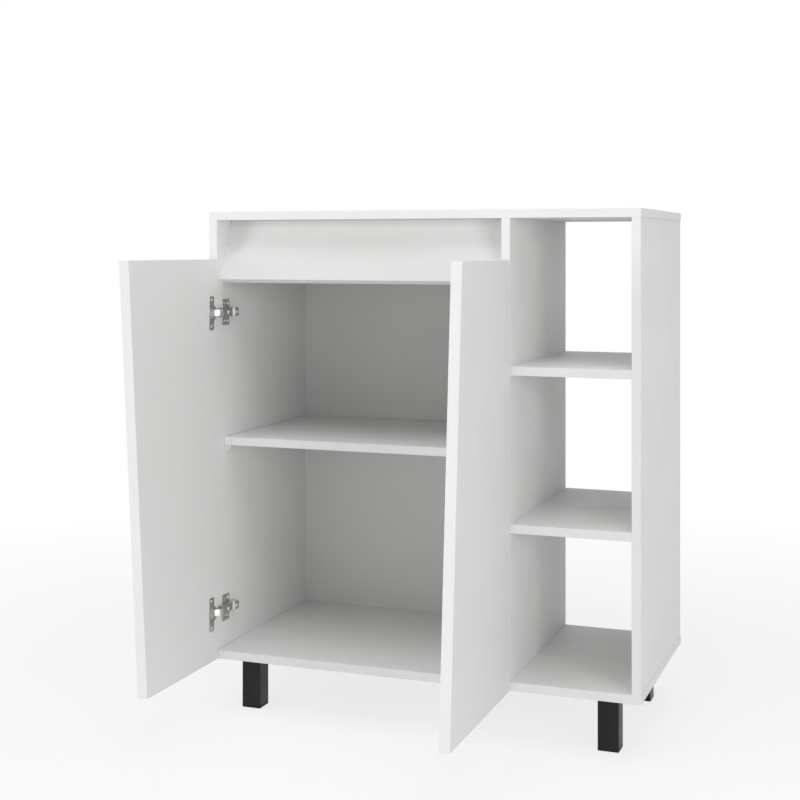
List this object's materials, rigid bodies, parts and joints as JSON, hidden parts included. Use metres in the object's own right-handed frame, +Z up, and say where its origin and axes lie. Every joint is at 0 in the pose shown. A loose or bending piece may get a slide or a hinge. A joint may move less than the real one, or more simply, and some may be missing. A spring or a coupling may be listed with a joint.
{
  "type": "kitchen pantry cabinet",
  "caption": "Free-standing white board kitchen cabinet on square legs: slant-edged doors with a sloped finger grip above them on the left, an open column of niches on the right.",
  "frame": {"origin": "on the floor under the middle of the part's box as it stands, with both doors open at a right angle", "axes": "+Z up, +Y from the front to the back, +X to the right seen from the front"},
  "size_m": [0.79, 0.7178, 0.908],
  "materials": {
    "white_board": "white melamine on particle board, fine satin texture, thin white edge bands",
    "white_hardboard": "white-faced thin hardboard",
    "black_plastic": "black moulded plastic, fine satin grain",
    "white_plastic": "white moulded plastic",
    "nickel_steel": "nickel-plated pressed steel",
    "zinc_steel": "zinc-plated steel",
    "beech": "raw fluted beech"
  },
  "bodies": {
    "carcass": {"adjustable_shelf": "white_board", "arm_screws": "nickel_steel", "back_panel": "white_hardboard", "back_panel_nails": "zinc_steel", "bottom_board": "white_board", "cam_bolts": "zinc_steel", "cam_discs": "zinc_steel", "divider_panel": "white_board", "foot_caps": "black_plastic", "frame_screws": "zinc_steel", "front_left_leg": "black_plastic", "front_right_leg": "black_plastic", "left_lower_hinge_arm": "nickel_steel", "left_lower_hinge_plate": "nickel_steel", "left_side_panel": "white_board", "left_upper_hinge_arm": "nickel_steel", "left_upper_hinge_plate": "nickel_steel", "leg_screws": "zinc_steel", "niche_shelf_lower": "white_board", "niche_shelf_upper": "white_board", "plate_screws": "nickel_steel", "rear_left_leg": "black_plastic", "rear_right_leg": "black_plastic", "right_lower_hinge_arm": "nickel_steel", "right_lower_hinge_plate": "nickel_steel", "right_side_panel": "white_board", "right_upper_hinge_arm": "nickel_steel", "right_upper_hinge_plate": "nickel_steel", "shelf_supports": "white_plastic", "sloped_fascia": "white_board", "top_board": "white_board", "wood_dowels": "beech"},
    "left_door": {"left_cup_screws": "nickel_steel", "left_door": "white_board", "left_lower_hinge_cup": "nickel_steel", "left_lower_hinge_pin": "nickel_steel", "left_upper_hinge_cup": "nickel_steel", "left_upper_hinge_pin": "nickel_steel"},
    "right_door": {"right_cup_screws": "nickel_steel", "right_door": "white_board", "right_lower_hinge_cup": "nickel_steel", "right_lower_hinge_pin": "nickel_steel", "right_upper_hinge_cup": "nickel_steel", "right_upper_hinge_pin": "nickel_steel"}
  },
  "joints": [
    {"name": "left_door_swing", "type": "hinge", "parent": "carcass", "child": "left_door", "pos_m": [-0.38561, -0.0508, 0.4595], "axis": [0, 0, 1], "range_deg": [-15, 90]},
    {"name": "right_door_swing", "type": "hinge", "parent": "carcass", "child": "right_door", "pos_m": [0.16461, -0.0508, 0.4595], "axis": [0, 0, 1], "range_deg": [-90, 15]}
  ]
}
